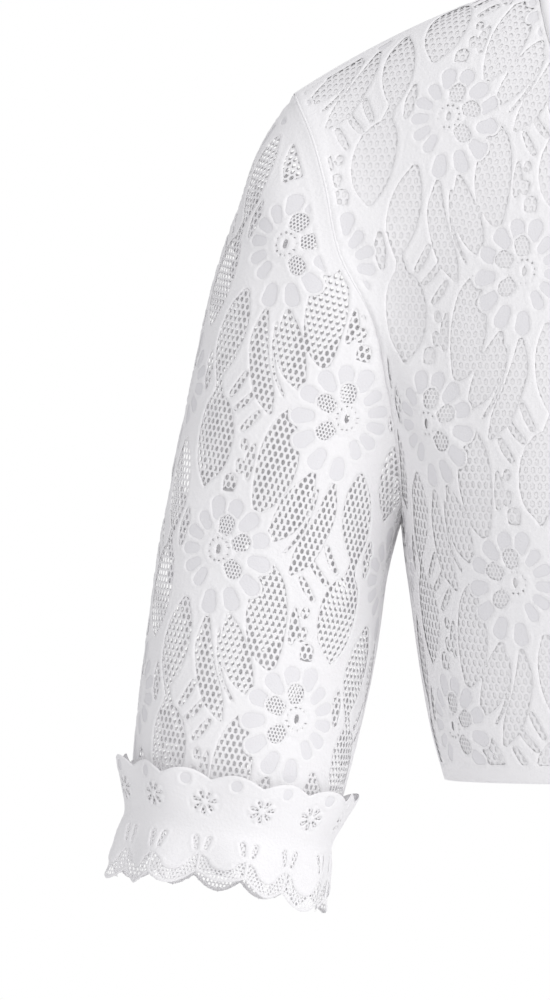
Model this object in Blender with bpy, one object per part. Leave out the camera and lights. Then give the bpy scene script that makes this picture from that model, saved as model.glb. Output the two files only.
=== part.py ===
"""White lace dirndl blouse, filled out as when it is worn, with no wearer inside.

Metres, +Z up. The front faces -Y and the wearer's left side is at +X. The origin lies midway
between the two shoulder points. Tables are in millimetres, with one named column for each size.
"""

import math

import bpy
import numpy as np

MM = 0.001

# Walls and the gaps between pieces
LACE_THICKNESS = 1.2 * MM
LINING_THICKNESS = 1.0 * MM
LINING_GAP = 3.0 * MM
SEAM_GAP = 0.3 * MM

# Grid of each piece: quads in half a panel, and rows below and above the armpit
HALF_COLUMNS = 14
NECK_COLUMNS = 8
SIDE_ROWS = 6
ARMHOLE_ROWS = 14
SLEEVE_ROWS = 20
CURVE_STEPS = 400

# Bodice from the hem to the armpit
SECTION_ROUNDNESS = 2.3
BODICE_NAMES = ("up", "half_width", "front_depth", "back_depth")
BODICE = (
    (-330, 128.6, 97, 78),
    (-311, 134.0, 100, 80),
    (-282, 139.7, 106, 84),
    (-243, 145.2, 115, 90),
    (-218, 148.6, 118, 93),
    (-203, 150.0, 118.5, 93.5),
)

# Armhole seam from the armpit to the shoulder point
ARMHOLE_NAMES = ("up", "front_across", "front_depth", "back_across", "back_depth")
ARMHOLE = (
    (-203, 150.0, 0, 150.0, 0),
    (-190, 150.5, 27, 150.5, 25),
    (-147, 156.0, 47, 156.0, 43),
    (-111, 164.0, 53, 165.0, 48),
    (-78, 180.5, 52, 176.0, 47),
    (-44, 187.5, 43, 186.0, 39),
    (-20, 194.0, 29, 194.0, 26),
    (-5, 200.0, 13, 200.0, 12),
    (0, 201.6, 0, 201.6, 0),
)
ARMHOLE_REACH = 3.5

# Shoulder line, and the neckline as an ellipse seen from the front
NECK_POINT_ACROSS = 85 * MM
NECK_POINT_UP = 54 * MM
SHOULDER_RISE = 5.5 * MM
FRONT_NECK_UP = -45 * MM
BACK_NECK_UP = 36 * MM

# Fullness of the front over the bust
BUST_ACROSS = 78 * MM
BUST_UP = -195 * MM
BUST_RADIUS = 58 * MM
BUST_FULLNESS = 7 * MM

# Sleeve sections below the armhole seam, each between an outer and an inner point
SLEEVE_NAMES = ("outer_across", "outer_up", "inner_across", "inner_up", "front_depth", "back_depth")
SLEEVE = (
    (216.0, -22, 151.0, -206, 54, 49),
    (230.5, -61, 152.5, -211, 53, 49),
    (242.5, -99, 154.5, -218, 52, 48),
    (251.0, -138, 156.5, -226, 51, 47),
    (258.0, -176, 158.5, -237, 50, 46),
    (264.0, -208, 160.5, -252, 50, 45),
    (269.5, -240, 163.5, -272, 50, 44),
    (274.1, -272, 168.0, -294, 50, 43),
    (277.5, -302, 174.0, -319, 50, 42),
    (280.0, -330, 181.0, -345, 49, 41),
    (281.5, -346, 186.0, -362, 48, 40),
)

# Cuff trim: a double-edged scalloped lace gathered on to the end of the sleeve
TRIM_SCALLOPS = 18
TRIM_COLUMNS = 72
TRIM_FLUTES = 8
TRIM_FLUTE_DRIFT = 0.5
TRIM_FRONT_LIFT = 7 * MM
TRIM_LIFT_SPREAD = 0.55
TRIM_NAMES = ("along", "scallop", "stand_off", "flute")
TRIM = (
    (24, 4.0, 3.5, 2.4),
    (13, 0.0, 1.6, 1.5),
    (0, 0.0, 0.0, 0.5),
    (-9, 0.0, 1.2, 1.8),
    (-18, 0.0, 2.0, 3.0),
    (-26, -5.0, 2.6, 3.6),
)

# Neck binding, a folded tape that closes the edges of lace and lining
BINDING_WIDTH = 6 * MM
BINDING_PROUD = 0.5 * MM
BINDING_BEHIND = 1.7 * MM
BINDING_ROUNDING = 0.6 * MM
BINDING_CLEARANCE = 0.45 * MM

# Soft folds as seen from the front, each from a start to an end point
FOLD_NAMES = ("start_across", "start_up", "end_across", "end_up", "height", "width")
BODICE_FOLDS = (
    (172, -92, 128, -168, 2.6, 9),
    (160, -128, 112, -196, 2.2, 10),
    (185, -50, 150, -84, 1.6, 10),
)
BACK_FOLDS = (
    (168, -108, 120, -180, 2.2, 11),
    (180, -60, 138, -96, 1.6, 12),
)
SLEEVE_FOLDS = (
    (166, -222, 205, -262, 2.4, 10),
    (172, -168, 226, -206, 1.8, 12),
    (250, -150, 262, -258, 2.0, 11),
    (206, -36, 238, -112, 1.8, 12),
)

LACE_COLOUR = (0.93, 0.93, 0.94, 1)
LINING_COLOUR = (0.90, 0.90, 0.91, 1)
TRIM_COLOUR = (0.94, 0.94, 0.95, 1)
BINDING_COLOUR = (0.92, 0.92, 0.93, 1)
CLOTH_ROUGHNESS = 0.85


def read(names, rows):
    """A table's columns by name, in metres."""
    return dict(zip(names, np.array(rows, float).T * MM))


def distances(line):
    """How far along a line each of its points lies."""
    return np.concatenate([[0], np.cumsum(np.linalg.norm(np.diff(line, axis=0), axis=1))])


def places(line, shares):
    """The points at these shares of a line's length."""
    travelled = distances(line)
    wanted = np.asarray(shares) * travelled[-1]
    return np.stack([np.interp(wanted, travelled, line[:, k]) for k in range(line.shape[1])], axis=1)


def smooth_line(points, shares):
    """The points at these shares of the length of a smooth curve through the given points."""
    points = np.asarray(points, float)
    knots = distances(points)
    slopes = np.gradient(points, knots, axis=0)
    dense = np.linspace(0, knots[-1], CURVE_STEPS)
    first = np.clip(np.searchsorted(knots, dense, side="right") - 1, 0, len(knots) - 2)
    step = (knots[first + 1] - knots[first])[:, None]
    t = (dense - knots[first])[:, None] / step
    curve = (2 * t**3 - 3 * t**2 + 1) * points[first]
    curve += (t**3 - 2 * t**2 + t) * step * slopes[first]
    curve += (3 * t**2 - 2 * t**3) * points[first + 1]
    curve += (t**3 - t**2) * step * slopes[first + 1]
    return places(curve, shares)


def even(count):
    """Shares from 0 to 1 in this many equal steps."""
    return np.linspace(0, 1, count + 1)


def armhole_line(face, shares):
    """The armhole seam at +X from the armpit up, on the front (face -1) or the back (face 1)."""
    sizes = read(ARMHOLE_NAMES, ARMHOLE)
    part = "front" if face < 0 else "back"
    points = np.stack([sizes[part + "_across"], face * sizes[part + "_depth"], sizes["up"]], axis=1)
    return smooth_line(points, shares)


def section_arc(half_width, depth, columns):
    """A quarter of a horizontal section, from the centre line to the side seam."""
    angle = np.linspace(0, math.pi / 2, CURVE_STEPS)
    power = 2 / SECTION_ROUNDNESS
    arc = np.stack([half_width * np.sin(angle) ** power, depth * np.cos(angle) ** power], axis=1)
    return places(arc, even(columns))


def shoulder_line():
    """Where each column would cross the shoulder line, which runs on over the neck opening."""
    end = armhole_line(-1, [1])[0]
    share = even(HALF_COLUMNS)
    neck_share = NECK_COLUMNS / HALF_COLUMNS
    bend = (end[0] - NECK_POINT_ACROSS / neck_share) / (1 - neck_share)
    across = (end[0] - bend) * share + bend * share**2
    climbed = (end[0] - across) / (end[0] - NECK_POINT_ACROSS)
    rounding = 4 * SHOULDER_RISE * np.clip(climbed * (1 - climbed), 0, None)
    return np.stack([across, np.zeros(len(share)), NECK_POINT_UP * climbed + rounding], axis=1)


def rising_column(base, top, neck_up, rows):
    """A column of the panel, upright at the chest and level on the shoulder, that stops at the neckline."""
    angle = np.linspace(0, math.pi / 2, CURVE_STEPS)
    across = base[0] + (top[0] - base[0]) * (1 - np.cos(angle))
    up = base[2] + (top[2] - base[2]) * np.sin(angle)
    line = np.stack([across, base[1] * np.cos(angle), up], axis=1)
    below = NECK_POINT_UP - up
    open_neck = (across / NECK_POINT_ACROSS) ** 2 + (below / (NECK_POINT_UP - neck_up)) ** 2 < 1
    if open_neck.any():
        line = line[: np.argmax(open_neck) + 1]
    return places(line, even(rows))


def fold_shape(points, folds):
    """How far each point is lifted by the folds, which are laid out as seen from the front."""
    lift = np.zeros(points.shape[:-1])
    flat = np.stack([np.abs(points[..., 0]), points[..., 2]], axis=-1)
    for values in zip(*read(FOLD_NAMES, folds).values()):
        fold = dict(zip(FOLD_NAMES, values))
        start = np.array([fold["start_across"], fold["start_up"]])
        run = np.array([fold["end_across"], fold["end_up"]]) - start
        share = (flat - start) @ run / (run @ run)
        nearest = start + np.clip(share, 0, 1)[..., None] * run
        aside = np.linalg.norm(flat - nearest, axis=-1)
        taper = np.sin(math.pi * np.clip(share, 0.04, 0.96))
        lift += fold["height"] * taper * np.exp(-((aside / fold["width"]) ** 2))
    return lift


def half_panel(face):
    """Half of the front (face -1) or back (face 1), from its centre line to the +X side, hem first."""
    part = "front_depth" if face < 0 else "back_depth"
    sizes = read(BODICE_NAMES, BODICE)
    rows = smooth_line(np.stack([sizes[name] for name in BODICE_NAMES], axis=1), even(SIDE_ROWS))
    lower = []
    for row in rows:
        size = dict(zip(BODICE_NAMES, row))
        arc = section_arc(size["half_width"], size[part], HALF_COLUMNS)
        lower.append(np.stack([arc[:, 0], face * arc[:, 1], np.full(len(arc), size["up"])], axis=1))
    neck_up = FRONT_NECK_UP if face < 0 else BACK_NECK_UP
    ends = zip(lower[-1], shoulder_line())
    upper = np.stack([rising_column(base, top, neck_up, ARMHOLE_ROWS) for base, top in ends], axis=1)
    towards_side = even(HALF_COLUMNS) ** ARMHOLE_REACH
    shift = armhole_line(face, even(ARMHOLE_ROWS)) - upper[:, -1]
    upper = upper + towards_side[None, :, None] * shift[:, None, :]
    grid = np.concatenate([np.array(lower), upper[1:]])
    if face < 0:
        aside = (grid[..., 0] - BUST_ACROSS) ** 2 + (grid[..., 2] - BUST_UP) ** 2
        fullness = BUST_FULLNESS * np.exp(-aside / BUST_RADIUS**2)
        grid[..., 1] -= fullness * (1 - even(HALF_COLUMNS) ** 3)
    return grid


def panel(face):
    """The front or back panel, with its columns from -X to +X and its rows from the hem up."""
    half = half_panel(face)
    mirrored = half[:, :0:-1] * (-1, 1, 1)
    grid = np.concatenate([mirrored, half], axis=1)
    folds = BODICE_FOLDS if face < 0 else BACK_FOLDS
    return raised(grid, fold_shape(grid, folds), face * -1, closed=False)


def sleeve_lines(columns, shares):
    """The +X sleeve as rings from the armhole seam down, at these shares of each line's length."""
    half = columns // 2
    front = armhole_line(-1, even(half))[::-1]
    back = armhole_line(1, even(half))
    seam = np.concatenate([front, back[1:-1]])
    sizes = read(SLEEVE_NAMES, SLEEVE)
    outer = np.stack([sizes["outer_across"], sizes["outer_up"]], axis=1)
    inner = np.stack([sizes["inner_across"], sizes["inner_up"]], axis=1)
    lines = []
    for index in range(columns):
        angle = 2 * math.pi * index / columns
        across, up = ((outer + inner) / 2 + (outer - inner) / 2 * math.cos(angle)).T
        depth = sizes["front_depth"] if math.sin(angle) > 0 else sizes["back_depth"]
        line = np.stack([across, -depth * math.sin(angle), up], axis=1)
        lines.append(smooth_line(np.concatenate([seam[index : index + 1], line]), shares))
    return np.stack(lines, axis=1)


def sleeve():
    """The +X sleeve, with its columns from the shoulder round the front and its rows from the seam down."""
    grid = sleeve_lines(2 * ARMHOLE_ROWS, even(SLEEVE_ROWS))
    lift = fold_shape(grid, SLEEVE_FOLDS) * (grid[..., 1] < 0)
    return raised(grid, lift, 1, closed=True)


def normals(grid, turn, closed):
    """Unit normals of a grid, pointing out of the garment. turn is -1 where the grid runs the other way."""
    if closed:
        across = np.roll(grid, -1, axis=1) - np.roll(grid, 1, axis=1)
    else:
        across = np.gradient(grid, axis=1)
    normal = turn * np.cross(across, np.gradient(grid, axis=0))
    return normal / np.linalg.norm(normal, axis=-1, keepdims=True)


def raised(grid, lift, turn, closed):
    """The grid with its inner points lifted along their normals and its seams left in place."""
    lift[0], lift[-1] = 0, 0
    if not closed:
        lift[:, 0], lift[:, -1] = 0, 0
    return grid + lift[..., None] * normals(grid, turn, closed)


def share_seam_normals(skins):
    """Gives pieces that meet at an outward or flat seam one normal there, so that their walls mitre."""
    meeting = {}
    for grid, normal in skins:
        for place in np.ndindex(grid.shape[:2]):
            if place[0] in (0, grid.shape[0] - 1) or place[1] in (0, grid.shape[1] - 1):
                key = tuple(np.round(grid[place] / (0.01 * MM)).astype(int))
                meeting.setdefault(key, []).append((normal, place, normal[place].copy()))
    for entries in meeting.values():
        for normal, place, own in entries:
            total = own.copy()
            for other_array, other_place, other in entries:
                if other_array is not normal or other_place != place:
                    total += other * min(1, max(0, 2 * float(own @ other)))
            normal[place] = total / np.linalg.norm(total)


def eased(grid, normal, seams, closed):
    """The grid with its seam edges drawn back in the surface by half a seam gap."""
    moved = grid.copy()
    for seam in seams:
        edge, beside = (0, 1) if seam.startswith("first") else (-1, -2)
        by_row = seam.endswith("row")
        view, out = (grid, normal) if by_row else (grid.swapaxes(0, 1), normal.swapaxes(0, 1))
        inward = edge_direction(view[edge], out[edge], closed and by_row)
        inward *= np.sign(np.sum(inward * (view[beside] - view[edge]), axis=-1, keepdims=True))
        target = moved if by_row else moved.swapaxes(0, 1)
        target[edge] += inward * SEAM_GAP / 2
    return moved


def edge_direction(line, normal, closed):
    """Unit directions square to an edge and lying in the surface."""
    tangent = np.roll(line, -1, axis=0) - np.roll(line, 1, axis=0) if closed else np.gradient(line, axis=0)
    square = np.cross(normal, tangent)
    return square / np.linalg.norm(square, axis=-1, keepdims=True)


def cloth_material(name, colour):
    """A matt white cloth."""
    material = bpy.data.materials.new(name)
    material.use_nodes = True
    shader = material.node_tree.nodes["Principled BSDF"]
    shader.inputs["Base Color"].default_value = colour
    shader.inputs["Roughness"].default_value = CLOTH_ROUGHNESS
    shader.inputs["Metallic"].default_value = 0
    material.diffuse_color = colour
    return material


def add_object(name, points, faces, material, parent):
    """A closed, smoothly shaded mesh object with its faces pointing out."""
    mesh = bpy.data.meshes.new(name)
    mesh.from_pydata([tuple(point) for point in points], [], faces)
    mesh.validate()
    shell = bpy.data.objects.new(name, mesh)
    bpy.context.scene.collection.objects.link(shell)
    mesh.materials.append(material)
    mesh.shade_smooth()
    shell.parent = parent
    return shell


def wall(name, outer, inner, closed, mirrored, material, parent):
    """A wall of cloth between an outer and an inner grid of points."""
    rows, columns = outer.shape[:2]
    points = np.concatenate([outer.reshape(-1, 3), inner.reshape(-1, 3)])
    inside = rows * columns
    spans = columns if closed else columns - 1

    def corner(row, column, layer):
        return row * columns + column % columns + layer * inside

    faces = []
    for row in range(rows - 1):
        for column in range(spans):
            ring = [(row, column), (row, column + 1), (row + 1, column + 1), (row + 1, column)]
            faces.append([corner(*place, 0) for place in ring])
            faces.append([corner(*place, 1) for place in reversed(ring)])
    for column in range(spans):
        for row, step in ((0, 1), (rows - 1, 0)):
            near, far = (column + 1, column) if step else (column, column + 1)
            faces.append([corner(row, near, 0), corner(row, far, 0), corner(row, far, 1), corner(row, near, 1)])
    if not closed:
        for row in range(rows - 1):
            for column, step in ((0, 0), (columns - 1, 1)):
                near, far = (row + 1, row) if step else (row, row + 1)
                ends = [corner(near, column, 0), corner(far, column, 0)]
                faces.append(ends + [corner(far, column, 1), corner(near, column, 1)])
    if mirrored:
        faces = [face[::-1] for face in faces]
    return add_object(name, points, faces, material, parent)


def shell(grid, normal, lift, thickness):
    """The outer and inner points of a wall whose outer face is lifted off the grid."""
    return grid + lift * normal, grid + (lift - thickness) * normal


def trim_grid():
    """The outer points of the +X cuff trim, its upper edge first, and its outward directions."""
    rows = read(TRIM_NAMES, TRIM)
    lines = sleeve_lines(TRIM_COLUMNS, even(SLEEVE_ROWS * 4))
    lengths = np.linalg.norm(np.diff(lines, axis=0), axis=-1).sum(axis=0)
    outward = normals(lines, 1, closed=True)[-1]
    down = lines[-1] - lines[-3]
    down /= np.linalg.norm(down, axis=-1, keepdims=True)
    angle = 2 * math.pi * np.arange(TRIM_COLUMNS) / TRIM_COLUMNS
    scallop = np.abs(np.sin(TRIM_SCALLOPS * angle / 2))
    flutes = np.sin(TRIM_FLUTES * angle + TRIM_FLUTE_DRIFT * np.sin(2 * angle))
    front = np.exp(-(((angle - math.pi / 2) / TRIM_LIFT_SPREAD) ** 2))
    grid = []
    for along, reach, stand_off, flute in zip(*rows.values()):
        lift = TRIM_FRONT_LIFT * front * max(0, -along) / (TRIM[-1][0] * -MM)
        height = along + reach * scallop + lift
        base = lines[-1] - height[:, None] * down
        if along > 0:
            base = np.stack([
                places(lines[:, k], [1 - height[k] / lengths[k]])[0] for k in range(TRIM_COLUMNS)
            ])
        rise = SEAM_GAP + LACE_THICKNESS + stand_off + flute * (1 + flutes) / 2
        grid.append(base + rise[:, None] * outward)
    return np.array(grid)


def binding(front, back, material, parent):
    """The neck binding, a ring of rounded tape sections standing on the panels' neckline edges."""
    neck = slice(HALF_COLUMNS - NECK_COLUMNS, HALF_COLUMNS + NECK_COLUMNS + 1)
    edge, normal = (np.concatenate([f[-1, neck][:-1], b[-1, neck][:0:-1]]) for f, b in zip(front, back))
    away = edge_direction(edge, normal, closed=True)
    away *= np.sign(np.sum(away * (edge.mean(axis=0) - edge), axis=-1, keepdims=True))
    low, high = BINDING_CLEARANCE, BINDING_WIDTH
    outside, inside, bevel = BINDING_PROUD, -BINDING_BEHIND, BINDING_ROUNDING
    profile = (
        (low, inside), (low, outside), (high - bevel, outside),
        (high, outside - bevel), (high, inside + bevel), (high - bevel, inside),
    )
    count = len(edge)
    points = [edge + along * away + out * normal for along, out in profile]
    grid = np.stack(points, axis=1)
    faces = []
    for index in range(count):
        for side in range(len(profile)):
            ring = [(index, side), (index + 1, side), (index + 1, side + 1), (index, side + 1)]
            faces.append([(i % count) * len(profile) + j % len(profile) for i, j in ring])
    return add_object("neck_binding", grid.reshape(-1, 3), faces, material, parent)


def main():
    """Clears the scene and builds every piece."""
    for item in list(bpy.data.objects):
        bpy.data.objects.remove(item)
    blouse = bpy.data.objects.new("dirndl_blouse", None)
    bpy.context.scene.collection.objects.link(blouse)

    lace = cloth_material("lace", LACE_COLOUR)
    lining = cloth_material("lining", LINING_COLOUR)
    trim = cloth_material("cuff_trim", TRIM_COLOUR)
    tape = cloth_material("binding", BINDING_COLOUR)

    mirror = np.array([-1, 1, 1])
    front, back, arm = panel(-1), panel(1), sleeve()
    front_skin = (front, normals(front, 1, closed=False))
    back_skin = (back, normals(back, -1, closed=False))
    arm_skin = (arm, normals(arm, 1, closed=True))
    other_arm_skin = (arm * mirror, arm_skin[1] * mirror)
    share_seam_normals([front_skin, back_skin, arm_skin, other_arm_skin])

    panel_seams = ("last row", "first column", "last column")
    for part, skin, turned in (("front", front_skin, False), ("back", back_skin, True)):
        grid, normal = eased(*skin, panel_seams, closed=False), skin[1]
        outer, inner = shell(grid, normal, 0, LACE_THICKNESS)
        wall(part + "_bodice", outer, inner, False, turned, lace, blouse)
        depth = LACE_THICKNESS + LINING_GAP
        outer, inner = shell(grid[::2, ::2], normal[::2, ::2], -depth, LINING_THICKNESS)
        wall("lining_" + part, outer, inner, False, turned, lining, blouse)

    trim_outer = trim_grid()
    trim_normal = normals(trim_outer, 1, closed=True)
    for side, sign, skin in (("left", 1, arm_skin), ("right", -1, other_arm_skin)):
        turned = sign < 0
        turn = np.array([sign, 1, 1])
        outer, inner = shell(eased(*skin, ("first row",), closed=True), skin[1], 0, LACE_THICKNESS)
        wall("sleeve_" + side, outer, inner, True, turned, lace, blouse)
        outer, inner = shell(trim_outer * turn, trim_normal * turn, 0, LACE_THICKNESS)
        wall("cuff_trim_" + side, outer, inner, True, turned, trim, blouse)

    binding(front_skin, back_skin, tape, blouse)


main()
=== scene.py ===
"""Looks of the white lace dirndl blouse: net with solid flowers and bands, linings, trims and seams.

The cloth is first laid out flat, the lace is drawn on the flat cloth in millimetres, and every
point of it is then put back on the filled-out form. Sizes with MM beside them and those of the
stage are in metres, and all others are in millimetres.
"""

import math
from collections import namedtuple

import bpy
import numpy as np
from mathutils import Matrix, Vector


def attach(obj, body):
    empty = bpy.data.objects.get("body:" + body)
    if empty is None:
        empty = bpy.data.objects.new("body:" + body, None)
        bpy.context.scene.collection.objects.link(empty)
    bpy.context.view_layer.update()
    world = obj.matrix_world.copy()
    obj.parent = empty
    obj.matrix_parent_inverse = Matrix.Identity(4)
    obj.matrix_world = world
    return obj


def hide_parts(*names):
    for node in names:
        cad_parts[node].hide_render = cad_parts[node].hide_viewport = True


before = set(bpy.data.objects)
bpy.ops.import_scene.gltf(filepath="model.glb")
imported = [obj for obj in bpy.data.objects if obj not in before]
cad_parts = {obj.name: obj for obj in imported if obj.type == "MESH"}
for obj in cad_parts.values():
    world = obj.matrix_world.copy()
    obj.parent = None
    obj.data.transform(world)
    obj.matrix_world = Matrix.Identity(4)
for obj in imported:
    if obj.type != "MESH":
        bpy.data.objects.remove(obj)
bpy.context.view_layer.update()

MM = 0.001

# Fineness of the surfaces: quads in half a panel, rows, and quads round a sleeve
HALF_COLUMNS = 84
NECK_COLUMNS = 48
SIDE_ROWS = 30
ARMHOLE_ROWS = 84
SLEEVE_ROWS = 120
SLEEVE_COLUMNS = 168
CURVE_STEPS = 400
COARSE = 6

# Bodice from the hem to the armpit
SECTION_ROUNDNESS = 2.3
BODICE_NAMES = ("up", "half_width", "front_depth", "back_depth")
BODICE = (
    (-330, 128.6, 97, 78),
    (-311, 134.0, 100, 80),
    (-282, 139.7, 106, 84),
    (-243, 145.2, 115, 90),
    (-218, 148.6, 118, 93),
    (-203, 150.0, 118.5, 93.5),
)

# Armhole seam from the armpit to the shoulder point
ARMHOLE_NAMES = ("up", "front_across", "front_depth", "back_across", "back_depth")
ARMHOLE = (
    (-203, 150.0, 0, 150.0, 0),
    (-190, 150.5, 27, 150.5, 25),
    (-147, 156.0, 47, 156.0, 43),
    (-111, 164.0, 53, 165.0, 48),
    (-78, 180.5, 52, 176.0, 47),
    (-44, 187.5, 43, 186.0, 39),
    (-20, 194.0, 29, 194.0, 26),
    (-5, 200.0, 13, 200.0, 12),
    (0, 201.6, 0, 201.6, 0),
)
ARMHOLE_REACH = 3.5

# Shoulder line, and the neckline as an ellipse seen from the front
NECK_POINT_ACROSS = 85 * MM
NECK_POINT_UP = 54 * MM
SHOULDER_RISE = 5.5 * MM
FRONT_NECK_UP = -45 * MM
BACK_NECK_UP = 36 * MM

# Fullness of the front over the bust
BUST_ACROSS = 78 * MM
BUST_UP = -195 * MM
BUST_RADIUS = 58 * MM
BUST_FULLNESS = 7 * MM

# Sleeve sections below the armhole seam, each between an outer and an inner point
SLEEVE_NAMES = ("outer_across", "outer_up", "inner_across", "inner_up", "front_depth", "back_depth")
SLEEVE = (
    (216.0, -22, 151.0, -206, 54, 49),
    (230.5, -61, 152.5, -211, 53, 49),
    (242.5, -99, 154.5, -218, 52, 48),
    (251.0, -138, 156.5, -226, 51, 47),
    (258.0, -176, 158.5, -237, 50, 46),
    (264.0, -208, 160.5, -252, 50, 45),
    (269.5, -240, 163.5, -272, 50, 44),
    (274.1, -272, 168.0, -294, 50, 43),
    (277.5, -302, 174.0, -319, 50, 42),
    (280.0, -330, 181.0, -345, 49, 41),
    (281.5, -346, 186.0, -362, 48, 40),
)

# Soft folds as seen from the front, each from a start to an end point
FOLD_NAMES = ("start_across", "start_up", "end_across", "end_up", "height", "width")
BODICE_FOLDS = (
    (172, -92, 128, -168, 2.6, 9),
    (160, -128, 112, -196, 2.2, 10),
    (185, -50, 150, -84, 1.6, 10),
)
BACK_FOLDS = (
    (168, -108, 120, -180, 2.2, 11),
    (180, -60, 138, -96, 1.6, 12),
)
SLEEVE_FOLDS = (
    (166, -222, 205, -262, 2.4, 10),
    (172, -168, 226, -206, 1.8, 12),
    (250, -150, 262, -258, 2.0, 11),
    (206, -36, 238, -112, 1.8, 12),
)
FOLD_END = 0.04

# The lace's repeat, and where one flower sits on each cloth as seen from the front
REPEAT_ACROSS = 101
REPEAT_UP = 148
SLEEVE_FLOWER = (238.6, -219.8)
FRONT_FLOWER = (-128.8, -11.4)
BACK_FLOWER = (-128.8, -11.4)

# Openings of the lace beside a flower, whose eyelet is the origin and whose see-through petals lie
# to the right: points down the middle of each, with the half width there
LEAVES = (
    ((27.2, -1, 0.5), (28.2, -14, 7.4), (28.6, -28, 9.9), (30.6, -42, 7.6), (35, -54, 0.8)),
    ((10.5, -30, 1.5), (14.6, -43, 6.2), (18.8, -54, 6.8), (27, -67, 1.0)),
    ((-0.5, -33, 1.5), (-0.4, -46, 4.6), (2.8, -58, 5.2), (8.2, -70, 5.2), (13.2, -79, 1.5)),
    ((-14, -27, 2.5), (-16.2, -40, 7.8), (-18, -52, 8.2), (-19.5, -69, 1.5)),
    ((-19.5, -76, 1.0), (-15, -88, 10.2), (-13.6, -101, 10.6), (-14.5, -119, 1.0)),
    ((-9, -75, 1.5), (-6, -70, 1.8), (-3, -64, 1.5)),
    ((-4.5, -81, 1.5), (-0.2, -77, 1.8), (3.8, -72, 1.5)),
    ((1.2, -90, 1.5), (4.7, -85.5, 1.9), (7.8, -81, 1.5)),
    ((3.6, -96, 1.9), (4.0, -98, 1.9)),
    ((3.2, -106, 2.2), (3.8, -109, 2.2)),
    ((-0.2, -115, 3.6), (-0.4, -118.5, 3.2)),
    ((41.5, -22, 1.0), (42.5, -30, 2.4), (42.0, -38, 1.4)),
    ((-29, -58, 1.2), (-28.5, -66, 3.0), (-27.5, -74, 1.4)),
    ((-32, 6, 1.2), (-33, -4, 3.4), (-31.5, -14, 3.6), (-29, -23, 1.4)),
    ((6.5, -37, 0.7), (8.2, -50, 0.8), (12.5, -62, 0.8), (18, -70, 0.7)),
    ((21.5, -55, 0.7), (23.5, -47, 0.8), (22, -36, 0.7)),
)

# Flower: a ring of petals round three inner ones and an eyelet
PETALS = 13
LONG_PETALS = 8
FIRST_PETAL = 102
PETAL_AT = 22.0
PETAL_DROP = 2.6
SHORT_PETAL_AT = 15.8
PETAL_LENGTH = 4.6
PETAL_HALF = 3.9
PETAL_TAPER = 0.8
SHORT_PETAL_NARROWING = 0.75
PETAL_RIM = 1.5
INNER_PETALS = ((79, 11.4), (22, 12.2), (-41, 11.9))
INNER_PETAL_LENGTH = 2.8
INNER_PETAL_HALF = 4.2
INNER_PETAL_TAPER = 0.85
PETAL_CORD = 1.3
FINE_NET = 0.55
EYELET_RIM = 7.55
EYELET_RELIEF = 9.5
EYELET_DOTS = 12
EYELET_DOT_AT = 5.6
EYELET_DOT_HALF = 0.75
EYELET_HOLE_HALF = 1.1
EYELET_HOLE_UP = 1.3
FLOWER_NARROWING = 0.94
FLOWER_TOP = 28

# Net: cells across and up, with the hole in each
CELL_ACROSS = 3.0
CELL_UP = 3.1
CELL_SHOULDER = 1.05
HOLE_HALF = 0.85
HOLE_TOP = 1.4
HOLE_SHOULDER = 0.75

# How far a stroke is measured outside its edges, and what counts as far from any edge
STROKE_REACH = 4
STROKE_STEPS = 3
FAR = 9.0

# Layers of the lace above the flat cloth, and how far they lap
NET_LIFT = 0.0
SHEER_LIFT = 0.12
SOLID_LIFT = 0.2
SOLID_RISE = 0.6
SOLID_SHOULDER = 1.1
SOLID_SINK = 0.3
GROOVE_DEPTH = 0.5
GROOVE_HALF = 0.8
LAYER_LAP = 1.0
NET_LAP = 1.5

# Fineness of the drawn lace
SLEEVE_STEP = 1.15
PANEL_STEP = 1.4
SHEER_STEP = 1.9

# Widths of solid cloth along a cloth's edges
PANEL_HEM = 9
PANEL_SIDES = 4
PANEL_TOP = 5
CAP_SEAM = 9
UNDERARM_SEAM = 3
SLEEVE_HEM = 8
CAP_SHARE = 0.42


def read(names, rows):
    """A table's columns by name, in metres."""
    return dict(zip(names, np.array(rows, float).T * MM))


def distances(line):
    """How far along a line each of its points lies."""
    return np.concatenate([[0], np.cumsum(np.linalg.norm(np.diff(line, axis=0), axis=1))])


def places(line, shares):
    """The points at these shares of a line's length."""
    travelled = distances(line)
    wanted = np.asarray(shares) * travelled[-1]
    return np.stack([np.interp(wanted, travelled, line[:, k]) for k in range(line.shape[1])], axis=1)


def smooth_line(points, shares):
    """The points at these shares of the length of a smooth curve through the given points."""
    points = np.asarray(points, float)
    knots = distances(points)
    slopes = np.gradient(points, knots, axis=0)
    dense = np.linspace(0, knots[-1], CURVE_STEPS)
    first = np.clip(np.searchsorted(knots, dense, side="right") - 1, 0, len(knots) - 2)
    step = (knots[first + 1] - knots[first])[:, None]
    t = (dense - knots[first])[:, None] / step
    curve = (2 * t**3 - 3 * t**2 + 1) * points[first]
    curve += (t**3 - 2 * t**2 + t) * step * slopes[first]
    curve += (3 * t**2 - 2 * t**3) * points[first + 1]
    curve += (t**3 - t**2) * step * slopes[first + 1]
    return places(curve, shares)


def even(count):
    """Shares from 0 to 1 in this many equal steps."""
    return np.linspace(0, 1, count + 1)


def armhole_line(face, shares):
    """The armhole seam at +X from the armpit up, on the front (face -1) or the back (face 1)."""
    sizes = read(ARMHOLE_NAMES, ARMHOLE)
    part = "front" if face < 0 else "back"
    points = np.stack([sizes[part + "_across"], face * sizes[part + "_depth"], sizes["up"]], axis=1)
    return smooth_line(points, shares)


def section_arc(half_width, depth, columns):
    """A quarter of a horizontal section, from the centre line to the side seam."""
    angle = np.linspace(0, math.pi / 2, CURVE_STEPS)
    power = 2 / SECTION_ROUNDNESS
    arc = np.stack([half_width * np.sin(angle) ** power, depth * np.cos(angle) ** power], axis=1)
    return places(arc, even(columns))


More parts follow.
